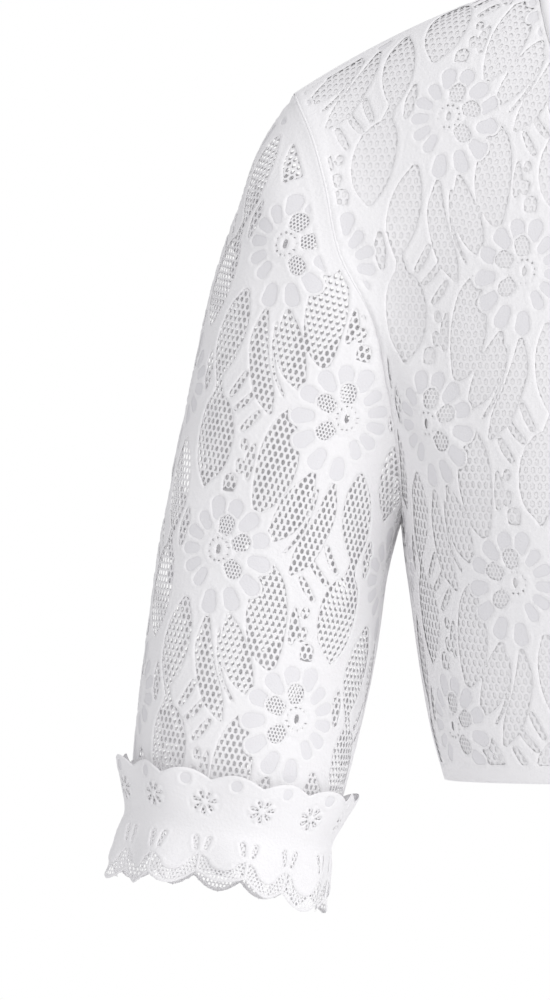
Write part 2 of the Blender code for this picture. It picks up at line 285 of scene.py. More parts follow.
def shoulder_line():
    """Where each column would cross the shoulder line, which runs on over the neck opening."""
    end = armhole_line(-1, [1])[0]
    share = even(HALF_COLUMNS)
    neck_share = NECK_COLUMNS / HALF_COLUMNS
    bend = (end[0] - NECK_POINT_ACROSS / neck_share) / (1 - neck_share)
    across = (end[0] - bend) * share + bend * share**2
    climbed = (end[0] - across) / (end[0] - NECK_POINT_ACROSS)
    rounding = 4 * SHOULDER_RISE * np.clip(climbed * (1 - climbed), 0, None)
    return np.stack([across, np.zeros(len(share)), NECK_POINT_UP * climbed + rounding], axis=1)


def rising_column(base, top, neck_up, rows):
    """A column of the panel, upright at the chest and level on the shoulder, that stops at the neckline."""
    angle = np.linspace(0, math.pi / 2, CURVE_STEPS)
    across = base[0] + (top[0] - base[0]) * (1 - np.cos(angle))
    up = base[2] + (top[2] - base[2]) * np.sin(angle)
    line = np.stack([across, base[1] * np.cos(angle), up], axis=1)
    below = NECK_POINT_UP - up
    open_neck = (across / NECK_POINT_ACROSS) ** 2 + (below / (NECK_POINT_UP - neck_up)) ** 2 < 1
    if open_neck.any():
        line = line[: np.argmax(open_neck) + 1]
    return places(line, even(rows))


def fold_shape(points, folds):
    """How far each point is lifted by the folds, which are laid out as seen from the front."""
    lift = np.zeros(points.shape[:-1])
    flat = np.stack([np.abs(points[..., 0]), points[..., 2]], axis=-1)
    for values in zip(*read(FOLD_NAMES, folds).values()):
        fold = dict(zip(FOLD_NAMES, values))
        start = np.array([fold["start_across"], fold["start_up"]])
        run = np.array([fold["end_across"], fold["end_up"]]) - start
        share = (flat - start) @ run / (run @ run)
        nearest = start + np.clip(share, 0, 1)[..., None] * run
        aside = np.linalg.norm(flat - nearest, axis=-1)
        taper = np.sin(math.pi * np.clip(share, FOLD_END, 1 - FOLD_END))
        lift += fold["height"] * taper * np.exp(-((aside / fold["width"]) ** 2))
    return lift


def half_panel(face):
    """Half of the front (face -1) or back (face 1), from its centre line to the +X side, hem first."""
    part = "front_depth" if face < 0 else "back_depth"
    sizes = read(BODICE_NAMES, BODICE)
    rows = smooth_line(np.stack([sizes[name] for name in BODICE_NAMES], axis=1), even(SIDE_ROWS))
    lower = []
    for row in rows:
        size = dict(zip(BODICE_NAMES, row))
        arc = section_arc(size["half_width"], size[part], HALF_COLUMNS)
        lower.append(np.stack([arc[:, 0], face * arc[:, 1], np.full(len(arc), size["up"])], axis=1))
    neck_up = FRONT_NECK_UP if face < 0 else BACK_NECK_UP
    ends = zip(lower[-1], shoulder_line())
    upper = np.stack([rising_column(base, top, neck_up, ARMHOLE_ROWS) for base, top in ends], axis=1)
    towards_side = even(HALF_COLUMNS) ** ARMHOLE_REACH
    shift = armhole_line(face, even(ARMHOLE_ROWS)) - upper[:, -1]
    upper = upper + towards_side[None, :, None] * shift[:, None, :]
    grid = np.concatenate([np.array(lower), upper[1:]])
    if face < 0:
        aside = (grid[..., 0] - BUST_ACROSS) ** 2 + (grid[..., 2] - BUST_UP) ** 2
        fullness = BUST_FULLNESS * np.exp(-aside / BUST_RADIUS**2)
        grid[..., 1] -= fullness * (1 - even(HALF_COLUMNS) ** 3)
    return grid


def panel(face):
    """The front or back panel, with its columns from -X to +X and its rows from the hem up."""
    half = half_panel(face)
    mirrored = half[:, :0:-1] * (-1, 1, 1)
    grid = np.concatenate([mirrored, half], axis=1)
    folds = BODICE_FOLDS if face < 0 else BACK_FOLDS
    return raised(grid, fold_shape(grid, folds), face * -1, closed=False)


def sleeve_lines(columns, shares):
    """The +X sleeve as rings from the armhole seam down, at these shares of each line's length."""
    half = columns // 2
    front = armhole_line(-1, even(half))[::-1]
    back = armhole_line(1, even(half))
    seam = np.concatenate([front, back[1:-1]])
    sizes = read(SLEEVE_NAMES, SLEEVE)
    outer = np.stack([sizes["outer_across"], sizes["outer_up"]], axis=1)
    inner = np.stack([sizes["inner_across"], sizes["inner_up"]], axis=1)
    lines = []
    for index in range(columns):
        angle = 2 * math.pi * index / columns
        across, up = ((outer + inner) / 2 + (outer - inner) / 2 * math.cos(angle)).T
        depth = sizes["front_depth"] if math.sin(angle) > 0 else sizes["back_depth"]
        line = np.stack([across, -depth * math.sin(angle), up], axis=1)
        lines.append(smooth_line(np.concatenate([seam[index : index + 1], line]), shares))
    return np.stack(lines, axis=1)


def sleeve():
    """The +X sleeve as a cloth opened along the underarm, columns round the back first and rows down."""
    rings = sleeve_lines(SLEEVE_COLUMNS, even(SLEEVE_ROWS))
    lift = fold_shape(rings, SLEEVE_FOLDS) * (rings[..., 1] < 0)
    rings = raised(rings, lift, 1, closed=True)
    grid = opened(rings)
    return Cloth(grid, opened(normals(rings, 1, closed=True)), laid_flat(grid, -1), True)


def opened(rings):
    """Closed rings as an open grid that starts and ends at the underarm."""
    turned = np.roll(rings, -rings.shape[1] // 2, axis=1)
    return np.concatenate([turned, turned[:, :1]], axis=1)


def normals(grid, turn, closed):
    """Unit normals of a grid, pointing out of the garment. turn is -1 where the grid runs the other way."""
    if closed:
        across = np.roll(grid, -1, axis=1) - np.roll(grid, 1, axis=1)
    else:
        across = np.gradient(grid, axis=1)
    normal = turn * np.cross(across, np.gradient(grid, axis=0))
    return normal / np.linalg.norm(normal, axis=-1, keepdims=True)


def raised(grid, lift, turn, closed):
    """The grid with its inner points lifted along their normals and its seams left in place."""
    lift[0], lift[-1] = 0, 0
    if not closed:
        lift[:, 0], lift[:, -1] = 0, 0
    return grid + lift[..., None] * normals(grid, turn, closed)


# A cloth: its form, its outward directions, and the same points laid out flat in millimetres
Cloth = namedtuple("Cloth", "grid normal flat turned")
FLATTENING_ROUNDS = 1500
SPRING_PULL = 0.12

# Search for a flat spot's place on the grid: its rounds, how far off the cloth it may go, and the
# spacing and highest power of the first guess
FIND_ROUNDS = 8
BEYOND = 8
GUESS_STRIDE = 3
GUESS_POWER = 4


def refining(count, step):
    """Weights that make (count - 1) * step + 1 smooth values out of count given ones."""
    known = np.eye(count)
    slopes = np.gradient(known, axis=0)
    place = np.linspace(0, count - 1, (count - 1) * step + 1)
    first = np.minimum(place.astype(int), count - 2)
    t = (place - first)[:, None]
    return ((2 * t**3 - 3 * t**2 + 1) * known[first] + (t**3 - 2 * t**2 + t) * slopes[first]
            + (3 * t**2 - 2 * t**3) * known[first + 1] + (t**3 - t**2) * slopes[first + 1])


def laid_flat(grid, up):
    """The grid's points laid out flat in millimetres, with up 1 where the last row is the top one."""
    coarse = grid[::COARSE, ::COARSE] / MM
    across = np.linalg.norm(np.diff(coarse, axis=1), axis=-1)
    middle = coarse.shape[1] // 2
    flat = np.zeros(coarse.shape[:2] + (2,))
    flat[:, 1:, 0] = np.cumsum(across, axis=1)
    flat[..., 0] -= flat[:, middle : middle + 1, 0]
    climb = np.linalg.norm(np.diff(coarse, axis=0), axis=-1)
    if up > 0:
        flat[1:, :, 1] = np.cumsum(climb, axis=0)
    else:
        flat[:-1, :, 1] = np.cumsum(climb[::-1], axis=0)[::-1]
    whole, ahead, behind = slice(None), slice(1, None), slice(None, -1)
    springs = (
        ((whole, behind), (whole, ahead)), ((behind, whole), (ahead, whole)),
        ((behind, behind), (ahead, ahead)), ((behind, ahead), (ahead, behind)),
    )
    lengths = [np.linalg.norm(coarse[b] - coarse[a], axis=-1) for a, b in springs]
    for _ in range(FLATTENING_ROUNDS):
        move = np.zeros_like(flat)
        for (a, b), length in zip(springs, lengths):
            run = flat[b] - flat[a]
            now = np.linalg.norm(run, axis=-1)
            pull = (SPRING_PULL * (now - length) / now)[..., None] * run
            move[a] += pull
            move[b] -= pull
        flat += move
    base, tip = (flat[0, middle], flat[-1, middle]) if up > 0 else (flat[-1, middle], flat[0, middle])
    run = (tip - base) / np.linalg.norm(tip - base)
    flat = (flat - base) @ np.array([[run[1], run[0]], [-run[0], run[1]]])
    rows, columns = refining(flat.shape[0], COARSE), refining(flat.shape[1], COARSE)
    return np.einsum("ai,bj,ijk->abk", rows, columns, flat)


def sampled(table, where):
    """A grid's values at fractional (row, column) places."""
    first = np.clip(np.floor(where).astype(int), 0, np.array(table.shape[:2]) - 2)
    row, column = first.T
    share = where - first
    shape = (-1,) + (1,) * (table.ndim - 2)
    down, along = share[:, 0].reshape(shape), share[:, 1].reshape(shape)
    near = (1 - along) * table[row, column] + along * table[row, column + 1]
    far = (1 - along) * table[row + 1, column] + along * table[row + 1, column + 1]
    return (1 - down) * near + down * far


def power_terms(spots, scale):
    """Products of powers of two coordinates, for a first guess of a place on the grid."""
    x, y = (spots / scale).T
    powers = [(i, j) for i in range(GUESS_POWER + 1) for j in range(GUESS_POWER + 1 - i)]
    return np.stack([x**i * y**j for i, j in powers], axis=1)


def find(cloth, spots):
    """The fractional (row, column) places of flat spots, and the lengths of a row and a column step."""
    flat = cloth.flat
    last = np.array(flat.shape[:2]) - 1
    scale = np.abs(flat).max()
    known = flat[::GUESS_STRIDE, ::GUESS_STRIDE]
    index = np.stack(np.indices(known.shape[:2]), axis=-1).reshape(-1, 2) * GUESS_STRIDE
    guess = np.linalg.lstsq(power_terms(known.reshape(-1, 2), scale), index, rcond=None)[0]
    where = power_terms(spots, scale) @ guess
    for _ in range(FIND_ROUNDS):
        where = np.clip(where, -BEYOND, last + BEYOND)
        first = np.clip(np.floor(where).astype(int), 0, last - 1)
        row, column = first.T
        down, along = (where - first).T[..., None]
        a, b = flat[row, column], flat[row, column + 1]
        c, d = flat[row + 1, column], flat[row + 1, column + 1]
        down_step = (1 - along) * (c - a) + along * (d - b)
        along_step = (1 - down) * (b - a) + down * (d - c)
        reached = (1 - down) * ((1 - along) * a + along * b) + down * ((1 - along) * c + along * d)
        miss = spots - reached
        area = down_step[:, 0] * along_step[:, 1] - down_step[:, 1] * along_step[:, 0]
        moved_down = (miss[:, 0] * along_step[:, 1] - miss[:, 1] * along_step[:, 0]) / area
        moved_along = (down_step[:, 0] * miss[:, 1] - down_step[:, 1] * miss[:, 0]) / area
        where = where + np.stack([moved_down, moved_along], axis=1)
    where = np.clip(where, -BEYOND, last + BEYOND)
    steps = np.stack([np.linalg.norm(down_step, axis=1), np.linalg.norm(along_step, axis=1)], axis=1)
    return where, steps


def edge_distances(cloth, where, steps):
    """Millimetres to the first row, last row, first column and last column."""
    last = np.array(cloth.flat.shape[:2]) - 1
    before, after = where * steps, (last - where) * steps
    return np.stack([before[:, 0], after[:, 0], before[:, 1], after[:, 1]], axis=1)


def on_form(cloth, where, lift):
    """Points on the filled-out form, lifted off it by millimetres."""
    return sampled(cloth.grid, where) + np.asarray(lift)[:, None] * MM * sampled(cloth.normal, where)


def stroke(spots, spine):
    """Millimetres outside a stroke of changing width, negative within it and FAR past its reach."""
    spine = np.asarray(spine, float)
    if len(spine) > 2:
        spine = smooth_line(spine, even(STROKE_STEPS * len(spine)))
    nearest = np.full(len(spots), FAR)
    reach = spine[:, 2].max() + STROKE_REACH
    low, high = spine[:, :2].min(axis=0) - reach, spine[:, :2].max(axis=0) + reach
    close = np.flatnonzero(((spots > low) & (spots < high)).all(axis=1))
    near_spots = spots[close]
    best = np.full(len(close), np.inf)
    for start, end in zip(spine, spine[1:]):
        run = end[:2] - start[:2]
        share = np.clip((near_spots - start[:2]) @ run / max(run @ run, 1e-9), 0, 1)
        away = np.linalg.norm(near_spots - start[:2] - share[:, None] * run, axis=1)
        best = np.minimum(best, away - start[2] - share * (end[2] - start[2]))
    nearest[close] = best
    return nearest


def petal(angle, start, end, half_start, half_end):
    """A straight stroke outwards from the eyelet."""
    along = np.array([math.cos(math.radians(angle)) * FLOWER_NARROWING, math.sin(math.radians(angle))])
    return (*(along * start), half_start), (*(along * end), half_end)


def ring_petal(index, rim):
    """One petal of the flower's outer ring, or with a rim its whole outline."""
    angle = FIRST_PETAL - 360 * index / PETALS
    long = index < LONG_PETALS
    middle = PETAL_AT - PETAL_DROP * math.sin(math.radians(angle)) if long else SHORT_PETAL_AT
    half = PETAL_HALF if long else PETAL_HALF * SHORT_PETAL_NARROWING
    start, end = middle - PETAL_LENGTH / 2, middle + PETAL_LENGTH / 2
    if rim:
        return petal(angle, 0, end, half + 3 * rim, half + rim)
    return petal(angle, start, end, half * PETAL_TAPER, half)


def flower_fields(spots, fields):
    """Draws one flower on the fields, each in millimetres and above 0 where it has its way."""
    away = np.linalg.norm(spots, axis=1)
    outline = np.full(len(spots), FAR)
    for index in range(PETALS):
        outline = np.minimum(outline, stroke(spots, ring_petal(index, PETAL_RIM)))
    fields["solid"] = np.maximum(fields["solid"], -outline)
    fields["net"] = np.minimum(fields["net"], outline - LAYER_LAP)
    inner = np.full(len(spots), FAR)
    narrow = INNER_PETAL_HALF * INNER_PETAL_TAPER
    for angle, middle in INNER_PETALS:
        start, end = middle - INNER_PETAL_LENGTH / 2, middle + INNER_PETAL_LENGTH / 2
        inner = np.minimum(inner, stroke(spots, petal(angle, start, end, narrow, INNER_PETAL_HALF)))
    inner = np.maximum(inner, EYELET_RIM - away)
    fields["solid"] = np.minimum(fields["solid"], inner)
    fields["fine"] = np.maximum(fields["fine"], -inner)
    for index in range(PETALS):
        window = np.maximum(stroke(spots, ring_petal(index, 0)), PETAL_CORD - inner)
        fields["solid"] = np.minimum(fields["solid"], window)
        fields["sheer"] = np.maximum(fields["sheer"], -window)
    fields["relief"] = np.minimum(fields["relief"], np.abs(away - EYELET_RELIEF))
    for index in range(EYELET_DOTS):
        angle = 2 * math.pi * (index + 0.5) / EYELET_DOTS
        place = np.array([math.cos(angle) * FLOWER_NARROWING, math.sin(angle)]) * EYELET_DOT_AT
        dot = np.linalg.norm(spots - place, axis=1) - EYELET_DOT_HALF
        fields["solid"] = np.minimum(fields["solid"], dot)
    hole = ((0, -EYELET_HOLE_UP, EYELET_HOLE_HALF), (0, EYELET_HOLE_UP, EYELET_HOLE_HALF))
    fields["solid"] = np.minimum(fields["solid"], stroke(spots, hole))


def lace_fields(spots, origin):
    """How far, in millimetres, each flat spot lies inside the solid, net, sheer and fine-net lace."""
    count = len(spots)
    fields = {name: np.full(count, -FAR) for name in ("net", "sheer", "fine")}
    fields["solid"], fields["relief"] = np.full(count, FAR), np.full(count, FAR)
    flowers = []
    for side, aside, down in ((1, 0, 0), (-1, REPEAT_ACROSS / 2, -REPEAT_UP / 2)):
        across = side * (spots[:, 0] - origin[0] - aside)
        up = spots[:, 1] - origin[1] - down
        across = (across + REPEAT_ACROSS / 2) % REPEAT_ACROSS - REPEAT_ACROSS / 2
        up = (up - FLOWER_TOP) % REPEAT_UP - REPEAT_UP + FLOWER_TOP
        local = np.stack([across, up], axis=1)
        flowers.append(local)
        for spine in LEAVES:
            window = stroke(local, spine)
            fields["solid"] = np.minimum(fields["solid"], window)
            fields["net"] = np.maximum(fields["net"], -window)
    for local in flowers:
        flower_fields(local, fields)
    return fields


def lattice(cloth, step):
    """Flat spots that cover the cloth, with their places on the grid and distances from its edges."""
    low, high = cloth.flat.min(axis=(0, 1)) - step, cloth.flat.max(axis=(0, 1)) + step
    x, y = (np.arange(a, b, step) for a, b in zip(low, high))
    spots = np.stack(np.meshgrid(x, y), axis=-1)
    where, steps = find(cloth, spots.reshape(-1, 2))
    edges = edge_distances(cloth, where, steps)
    return spots, where.reshape(spots.shape), edges.reshape(spots.shape[:2] + (4,))


def covered(field):
    """Polygons over the parts of a lattice where the field is positive, as fractional places and faces."""
    inside = field > 0
    number = np.cumsum(inside).reshape(inside.shape) - 1
    found = [np.argwhere(inside).astype(float)]
    total = len(found[0])
    crossing = {}
    for axis in (1, 0):
        here, there = (field[:, :-1], field[:, 1:]) if axis else (field[:-1], field[1:])
        cut = (here > 0) != (there > 0)
        crossing[axis] = np.cumsum(cut).reshape(cut.shape) - 1 + total
        place = np.argwhere(cut).astype(float)
        place[:, axis] += (here / np.where(cut, here - there, 1))[cut]
        found.append(place)
        total += len(place)
    corners = (number[:-1, :-1], number[:-1, 1:], number[1:, 1:], number[1:, :-1])
    edges = (crossing[1][:-1], crossing[0][:, 1:], crossing[1][1:], crossing[0][:, :-1])
    lit = (inside[:-1, :-1], inside[:-1, 1:], inside[1:, 1:], inside[1:, :-1])
    code = sum(on.astype(int) << bit for bit, on in enumerate(lit))
    faces = []
    for case in range(1, 16):
        cells = code == case
        ring = []
        for bit in range(4):
            if case >> bit & 1:
                ring.append(corners[bit][cells])
            if (case >> bit & 1) != (case >> (bit + 1) % 4 & 1):
                ring.append(edges[bit][cells])
        faces.extend(np.stack(ring, axis=1).tolist())
    return np.concatenate(found), faces


def net_spots(centres, scale):
    """The net's flat points and its faces: a hexagon of threads round each centre's hole."""
    top, half = CELL_UP - CELL_SHOULDER, CELL_ACROSS / 2
    outer = np.array([(0, top), (-half, CELL_SHOULDER), (-half, -CELL_SHOULDER),
                      (0, -top), (half, -CELL_SHOULDER), (half, CELL_SHOULDER)])
    inner = np.array([(0, HOLE_TOP), (-HOLE_HALF, HOLE_SHOULDER), (-HOLE_HALF, -HOLE_SHOULDER),
                      (0, -HOLE_TOP), (HOLE_HALF, -HOLE_SHOULDER), (HOLE_HALF, HOLE_SHOULDER)])
    spots = (centres[:, None] + np.concatenate([outer, inner]) * scale).reshape(-1, 2)
    first = np.arange(len(centres))[:, None] * 12
    faces = [first + np.array([k, (k + 1) % 6, (k + 1) % 6 + 6, k + 6]) for k in range(6)]
    return spots, np.concatenate(faces).tolist()


def cell_centres(low, high, scale):
    """Places of the net's holes over a flat rectangle, every other row set aside by half a cell."""
    x = np.arange(low[0], high[0], CELL_ACROSS * scale)
    y = np.arange(low[1], high[1], CELL_UP * scale)
    centres = np.stack(np.meshgrid(x, y), axis=-1)
    centres[1::2, :, 0] += CELL_ACROSS * scale / 2
    return centres.reshape(-1, 2)


def solid_layer(solid, relief, where, spots):
    """The raised solid lace: a cord along its edges, a little sunk within, and grooves by the relief."""
    place, faces = covered(solid)
    depth = sampled(solid, place)
    shoulder = np.clip(depth / SOLID_SHOULDER, 0, 1)
    lift = SOLID_LIFT + SOLID_RISE * shoulder * (2 - shoulder)
    lift -= SOLID_SINK * np.clip((depth - SOLID_SHOULDER) / SOLID_SHOULDER, 0, 1)
    lift -= GROOVE_DEPTH * np.exp(-((sampled(relief, place) / GROOVE_HALF) ** 2))
    return sampled(where, place), sampled(spots, place), lift, faces


def level_layer(field, where, spots, lift):
    """A level layer where a field is positive."""
    place, faces = covered(field)
    return sampled(where, place), sampled(spots, place), np.full(len(place), lift), faces


def net_layer(cloth, centres, scale):
    """Net cells round these centres."""
    spots, faces = net_spots(centres, scale)
    return find(cloth, spots)[0], spots, np.full(len(spots), NET_LIFT), faces


def layered_mesh(name, cloth, layers, mirrored):
    """One piece of lace from its layers, each with its material slot."""
    points, flats, faces, slots = [], [], [], []
    total = 0
    for slot, (place, spot, lift, layer_faces) in layers:
        points.append(on_form(cloth, place, lift))
        flats.append(spot)
        faces.extend([index + total for index in face] for face in layer_faces)
        slots.extend([slot] * len(layer_faces))
        total += len(place)
    points, flats = np.concatenate(points), np.concatenate(flats)
    if mirrored:
        points = points * (-1, 1, 1)
    if mirrored == cloth.turned:
        faces = [face[::-1] for face in faces]
    materials = [bpy.data.materials[kind] for kind in ("solid_lace", "sheer_lace", "net_lace")]
    return add_mesh(name, points, faces, flats, slots, materials)


def lace_layers(cloth, origin, step, allowances):
    """The layers of a panel or sleeve, with solid allowances along its four edges."""
    def drawn(spots, where, edges):
        fields = lace_fields(spots.reshape(-1, 2), origin)
        hem = (allowances(where.reshape(-1, 2)) - edges.reshape(-1, 4)).max(axis=-1)
        fields["solid"] = np.maximum(fields["solid"], hem)
        fields["net"] = np.minimum(fields["net"], -hem)
        return {name: field.reshape(edges.shape[:-1]) for name, field in fields.items()}, edges.min(axis=-1)

    spots, where, edges = lattice(cloth, step)
    fields, inside = drawn(spots, where, edges)
    layers = [(0, solid_layer(np.minimum(fields["solid"], inside), fields["relief"], where, spots))]

    spots, where, edges = lattice(cloth, SHEER_STEP)
    fields, inside = drawn(spots, where, edges)
    under = np.minimum(LAYER_LAP + fields["sheer"], inside - LAYER_LAP)
    layers.append((1, level_layer(under, where, spots, SHEER_LIFT)))

    for kind, scale in (("net", step / SLEEVE_STEP), ("fine", FINE_NET * step / SLEEVE_STEP)):
        centres = cell_centres(cloth.flat.min(axis=(0, 1)), cloth.flat.max(axis=(0, 1)), scale)
        where, steps = find(cloth, centres)
        fields, inside = drawn(centres, where, edge_distances(cloth, where, steps))
        lap = NET_LAP * scale
        shown = (fields[kind] > -lap) & (fields["solid"] < lap) & (inside > lap)
        layers.append((2, net_layer(cloth, centres[shown], scale)))
    return layers


def add_mesh(name, points, faces, flats, slots, materials):
    """A smoothly shaded mesh whose UVs are its flat cloth in metres."""
    mesh = bpy.data.meshes.new(name)
    mesh.from_pydata(np.asarray(points).tolist(), [], faces)
    for material in materials:
        mesh.materials.append(material)
    mesh.polygons.foreach_set("material_index", slots)
    corner = np.zeros(len(mesh.loops), int)
    mesh.loops.foreach_get("vertex_index", corner)
    layer = mesh.uv_layers.new(name="flat")
    layer.data.foreach_set("uv", (np.asarray(flats)[corner] * MM).ravel())
    mesh.shade_smooth()
    mesh.update()
    piece = bpy.data.objects.new(name, mesh)
    bpy.context.scene.collection.objects.link(piece)
    return piece


def grid_faces(rows, columns):
    """Quads between the points of a grid."""
    first = np.arange(rows - 1)[:, None] * columns + np.arange(columns - 1)
    quads = np.stack([first, first + 1, first + columns + 1, first + columns], axis=-1)
    return quads.reshape(-1, 4).tolist()


def plain_mesh(name, points, flat, turned, kind):
    """A plain cloth from a grid of points and the same grid laid out flat."""
    faces = grid_faces(*points.shape[:2])
    if turned:
        faces = [face[::-1] for face in faces]
    slots, materials = [0] * len(faces), [bpy.data.materials[kind]]
    return add_mesh(name, points.reshape(-1, 3), faces, flat.reshape(-1, 2), slots, materials)


# Cuff trim: a double-edged scalloped lace gathered on to the end of the sleeve
LACE_THICKNESS = 1.2 * MM
SEAM_GAP = 0.3 * MM
TRIM_FLUTES = 8
TRIM_FLUTE_DRIFT = 0.5
TRIM_FRONT_LIFT = 7 * MM
TRIM_LIFT_SPREAD = 0.55

# Rows down the trim: height above the sleeve's end, stand-off from the sleeve and depth of the flutes
TRIM = (
    (29, 3.9, 3.6),
    (24, 3.5, 3.2),
    (13, 1.6, 1.9),
    (0, 0.0, 0.6),
    (-9, 1.0, 2.4),
    (-18, 1.6, 4.0),
    (-26, 1.9, 5.0),
    (-33, 2.2, 5.6),
)
TRIM_COLUMNS = 360
TRIM_ROWS = 61
TRIM_STEP = 0.75
TRIM_NET = 0.62

# Scalloped edges of the trim, as heights and as how much farther a scallop's tip reaches
TRIM_SCALLOPS = 14
TRIM_TOP = 24
TRIM_TOP_SCALLOP = 4
TRIM_END = -26
TRIM_END_SCALLOP = -6

# Net in each lower scallop, the slit beside it, and the see-through drop under each upper scallop
TRIM_RIM = 1.8
TRIM_STRIP = 11
TRIM_STRIP_SHARE = 0.47
TRIM_LOBE_UP = -17
TRIM_LOBE_HALF = 6.6
TRIM_LOBE_HEIGHT = 7.4
TRIM_LOBE_SLOPE = 5
TRIM_SLIT = ((8.6, -12, 0.9), (7.6, -5.5, 1.3))
TRIM_DROP = ((0, -5.6, 2.0), (0, -4.6, 2.3))

# Small flowers round the trim
TRIM_FLOWERS = 12
TRIM_FLOWER_UP = 13
TRIM_FLOWER_RING = 6.6
TRIM_FLOWER_PETALS = 7
TRIM_FLOWER_TURN = 0.25
TRIM_PETAL = (2.2, 4.9, 0.5, 1.0)


def trim_cloth():
    """The +X cuff trim as a cloth that runs past both of its scalloped edges."""
    rows = smooth_line(np.array(TRIM, float), even(TRIM_ROWS - 1))
    lines = sleeve_lines(TRIM_COLUMNS, even(SLEEVE_ROWS))
    outward = normals(lines, 1, closed=True)[-1]
    down = lines[-1] - lines[-3]
    down /= np.linalg.norm(down, axis=-1, keepdims=True)
    travelled = np.linalg.norm(np.diff(lines[::-1], axis=0), axis=-1).cumsum(axis=0)
    travelled = np.concatenate([np.zeros((1, TRIM_COLUMNS)), travelled])
    angle = 2 * math.pi * np.arange(TRIM_COLUMNS) / TRIM_COLUMNS
    flutes = np.sin(TRIM_FLUTES * angle + TRIM_FLUTE_DRIFT * np.sin(2 * angle))
    front = np.exp(-(((angle - math.pi / 2) / TRIM_LIFT_SPREAD) ** 2))
    grid = []
    for height, stand_off, flute in rows * MM:
        lift = TRIM_FRONT_LIFT * front * max(0, -height) / (-TRIM_END * MM)
        base = lines[-1] - (height + lift)[:, None] * down
        if height > 0:
            base = np.stack([
                [np.interp(height, travelled[:, k], lines[::-1, k, axis]) for axis in range(3)]
                for k in range(TRIM_COLUMNS)
            ])
        rise = SEAM_GAP + LACE_THICKNESS + stand_off + flute * (1 + flutes) / 2
        grid.append(base + rise[:, None] * outward)
    grid = np.array(grid)
    normal = opened(normals(grid, 1, closed=True))
    grid = opened(grid)
    around = distances(grid[np.abs(rows[:, 0]).argmin()])
    flat = np.stack(np.broadcast_arrays(around[None, :] / MM, rows[:, :1]), axis=-1)
    return Cloth(grid, normal, flat.copy(), True)


def trim_fields(turn, up, width):
    """How far each place on the trim lies inside its solid, net and sheer lace, by turn and height."""
    pitch = width / TRIM_SCALLOPS
    aside = ((turn * TRIM_SCALLOPS) % 1 - 0.5) * pitch
    lobe = np.abs(np.cos(math.pi * aside / pitch))
    low = TRIM_END + TRIM_END_SCALLOP * lobe
    high = TRIM_TOP + TRIM_TOP_SCALLOP * lobe
    strip = np.minimum(up - low - TRIM_RIM, low + TRIM_STRIP - up)
    strip = np.minimum(strip, TRIM_STRIP_SHARE * pitch - np.abs(aside))
    lobes = np.hypot(aside / TRIM_LOBE_HALF, (up - TRIM_LOBE_UP) / TRIM_LOBE_HEIGHT) - 1
    net = np.minimum(strip, lobes * TRIM_LOBE_SLOPE)
    net = np.maximum(net, -stroke(np.stack([np.abs(aside), up], axis=1), TRIM_SLIT))
    flower = ((turn * TRIM_FLOWERS) % 1 - 0.5) * width / TRIM_FLOWERS
    petals = np.stack([flower, up - TRIM_FLOWER_UP], axis=1)
    ring = np.linalg.norm(petals, axis=1) - TRIM_FLOWER_RING
    solid = -net
    for index in range(TRIM_FLOWER_PETALS):
        angle = 360 * (index + TRIM_FLOWER_TURN) / TRIM_FLOWER_PETALS
        window = stroke(petals, petal(angle, *TRIM_PETAL))
        solid = np.minimum(solid, window)
        net = np.maximum(net, -window)
    sheer = -stroke(np.stack([aside, up - high], axis=1), TRIM_DROP)
    sheer = np.minimum(sheer, ring - LAYER_LAP)
    solid = np.minimum(solid, -sheer)
    rim = np.minimum(up - low, high - up)
    return {"solid": np.minimum(solid, rim), "relief": np.abs(ring), "net": net, "sheer": sheer}


def trim_layers(cloth):
    """The layers of the cuff trim."""
    width = float(cloth.flat[0, -1, 0])
    low, high = cloth.flat.min(axis=(0, 1)), cloth.flat.max(axis=(0, 1))
    x, y = (np.linspace(a, b, round((b - a) / TRIM_STEP) + 1) for a, b in zip(low, high))
    spots = np.stack(np.meshgrid(x, y), axis=-1)
    where = find(cloth, spots.reshape(-1, 2))[0]
    columns = cloth.flat.shape[1] - 1
    fields = trim_fields(where[:, 1] / columns, spots[..., 1].ravel(), width)
    where = where.reshape(spots.shape)
    fields = {name: field.reshape(spots.shape[:2]) for name, field in fields.items()}
    layers = [(0, solid_layer(fields["solid"], fields["relief"], where, spots))]
    layers.append((1, level_layer(LAYER_LAP + fields["sheer"], where, spots, SHEER_LIFT)))
    centres = cell_centres(low, high, TRIM_NET)
    fields = trim_fields(find(cloth, centres)[0][:, 1] / columns, centres[:, 1], width)
    lap = NET_LAP * TRIM_NET
    shown = (fields["net"] > -lap) & (fields["solid"] < lap)
    layers.append((2, net_layer(cloth, centres[shown], TRIM_NET)))
    return layers


# Lining, seams and neck binding
LINING_DEPTH = 0.35
LINING_STRIDE = 3
SEAM_RADIUS = 0.8 * MM
SEAM_SIDES = 6

# Cross-section of the folded tape: how far into the neck's opening, and how far out of the cloth
TAPE = (
    (0.6, 0.54),
    (1.0, 0.9),
    (4.8, 0.945),
    (6.0, 0.18),
    (5.76, -0.98),
    (4.5, -1.4),
    (0.6, -1.4),
)
TAPE_STEPS = 14


def lining(name, cloth):
    """A plain cloth a little inside the lace."""
    grid, normal, flat = (table[::LINING_STRIDE, ::LINING_STRIDE] for table in cloth[:3])
    return plain_mesh(name, grid - LINING_DEPTH * MM * normal, flat, cloth.turned, "lining_cloth")


